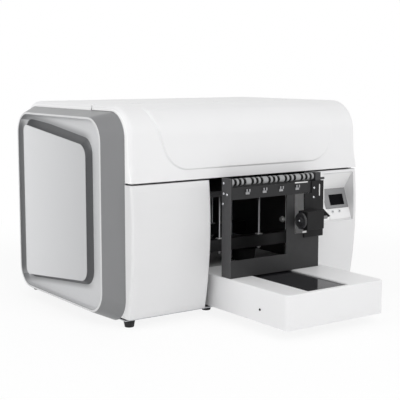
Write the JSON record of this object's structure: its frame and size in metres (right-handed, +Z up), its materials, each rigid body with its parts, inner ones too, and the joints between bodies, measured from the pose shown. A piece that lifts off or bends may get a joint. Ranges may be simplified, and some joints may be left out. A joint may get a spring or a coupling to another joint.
{
  "type": "uv printer",
  "caption": "Benchtop UV printer: white housing with hinged top cover, grey dished side frames, control pocket, lifting bed, print carriage and a roll feeder on a front tray.",
  "frame": {"origin": "on the floor, below the middle of the whole footprint from the tray's front to the rear panel", "axes": "+Z up, +X to the machine's right, +Y to its rear; the tray points to -Y"},
  "size_m": [1.012, 1.068, 0.668],
  "materials": {
    "white_shell": "satin moulded plastic",
    "grey_shell": "grey satin paint on plastic",
    "silver_panel": "fine silver paint",
    "black_sheet": "black powder coat",
    "black_plastic": "fine grain",
    "black_gloss": "mirror gloss",
    "screen": "glossy screen",
    "bezel_grey": "satin",
    "key_grey": "satin",
    "rubber": "matt",
    "sleeve_rubber": "matt grey",
    "steel": "bright",
    "zinc_sheet": "zinc plated",
    "aluminium": "natural anodised",
    "dark_aluminium": "black anodised",
    "tank_plastic": "translucent milk white",
    "board_green": "lacquered board"
  },
  "bodies": {
    "chassis": {"base_pan": "zinc_sheet", "rubber_feet": "rubber", "side_plates": "zinc_sheet", "bay_walls": "black_sheet", "left_front_panel": "white_shell", "right_front_panel": "white_shell", "rear_panel": "white_shell", "rear_top_panel": "white_shell", "hinge_brackets": "steel", "hinge_pins": "steel", "left_side_frame": "grey_shell", "right_side_frame": "grey_shell", "left_dish_panel": "silver_panel", "right_dish_panel": "silver_panel", "left_accent_panel": "silver_panel", "right_accent_panel": "silver_panel", "display_bezel": "bezel_grey", "display_screen": "screen", "key_plate": "white_shell", "front_tray": "white_shell", "slot_window": "black_gloss", "feeder_frame": "black_sheet", "feeder_bar": "black_sheet", "bearing_blocks": "black_plastic", "pinch_clips": "steel", "motor_bracket": "black_sheet", "takeup_motor": "black_plastic", "screws": "steel", "lift_beams": "dark_aluminium", "lift_bushings": "steel", "lift_motor": "black_sheet", "gantry_beam": "aluminium", "x_rail": "steel", "drive_belt": "rubber", "x_motor": "black_sheet", "capping_station": "black_plastic", "ink_tanks": "tank_plastic", "main_board": "board_green", "power_supply": "zinc_sheet", "power_inlet": "black_plastic"},
    "cover": {"top_cover": "white_shell"},
    "roller": {"feed_roller": "black_plastic", "roller_sleeves": "sleeve_rubber"},
    "takeup": {"takeup_flange": "black_plastic"},
    "lever": {"release_lever": "black_plastic"},
    "key_a": {"left_key": "key_grey"},
    "key_b": {"right_key": "key_grey"},
    "rocker": {"power_switch": "black_plastic"},
    "lift": {"guide_rods": "steel", "lift_platform": "dark_aluminium", "print_bed": "dark_aluminium", "lift_screw": "steel"},
    "carriage": {"rail_block": "steel", "print_carriage": "black_sheet", "print_heads": "aluminium", "uv_lamps": "dark_aluminium"},
    "drive": {"drive_pulley": "aluminium"},
    "idler": {"idler_pulley": "aluminium"},
    "fan": {"fan_rotor": "black_plastic"}
  },
  "joints": [
    {"name": "cover_hinge", "type": "hinge", "parent": "chassis", "child": "cover", "pos_m": [0, 0.042, 0.663], "axis": [-1, 0, 0], "range_deg": [0, 72]},
    {"name": "feed_spin", "type": "hinge", "parent": "chassis", "child": "roller", "pos_m": [0.04, -0.244, 0.432], "axis": [1, 0, 0], "continuous": true},
    {"name": "takeup_spin", "type": "hinge", "parent": "chassis", "child": "takeup", "pos_m": [0.118, -0.285, 0.298], "axis": [1, 0, 0], "continuous": true},
    {"name": "lever_turn", "type": "hinge", "parent": "chassis", "child": "lever", "pos_m": [0.24, -0.241, 0.305], "axis": [1, 0, 0], "range_deg": [0, 80]},
    {"name": "left_key_press", "type": "slide", "parent": "chassis", "child": "key_a", "axis": [0, 0.9397, -0.342], "range_m": [0, 0.0012], "stiffness_N_per_m": 800, "springref_m": -0.0005},
    {"name": "right_key_press", "type": "slide", "parent": "chassis", "child": "key_b", "axis": [0, 0.9397, -0.342], "range_m": [0, 0.0012], "stiffness_N_per_m": 800, "springref_m": -0.0005},
    {"name": "rocker_tip", "type": "hinge", "parent": "chassis", "child": "rocker", "pos_m": [0.348, 0.523, 0.111], "axis": [-1, 0, 0], "range_deg": [0, 18]},
    {"name": "bed_lift", "type": "slide", "parent": "chassis", "child": "lift", "axis": [0, 0, 1], "range_m": [-0.04, 0]},
    {"name": "carriage_slide", "type": "slide", "parent": "chassis", "child": "carriage", "axis": [1, 0, 0], "range_m": [-0.64, 0]},
    {"name": "drive_spin", "type": "hinge", "parent": "chassis", "child": "drive", "pos_m": [0.4, 0.13, 0.563], "axis": [0, 1, 0], "continuous": true},
    {"name": "idler_spin", "type": "hinge", "parent": "chassis", "child": "idler", "pos_m": [-0.4, 0.13, 0.563], "axis": [0, 1, 0], "continuous": true},
    {"name": "fan_spin", "type": "hinge", "parent": "chassis", "child": "fan", "pos_m": [-0.3, 0.514, 0.25], "axis": [0, 1, 0], "continuous": true}
  ],
  "couplings": [
    {"joint": "drive_spin", "follows": "carriage_slide", "rad_per_m": -84.746},
    {"joint": "idler_spin", "follows": "carriage_slide", "rad_per_m": -84.746}
  ]
}
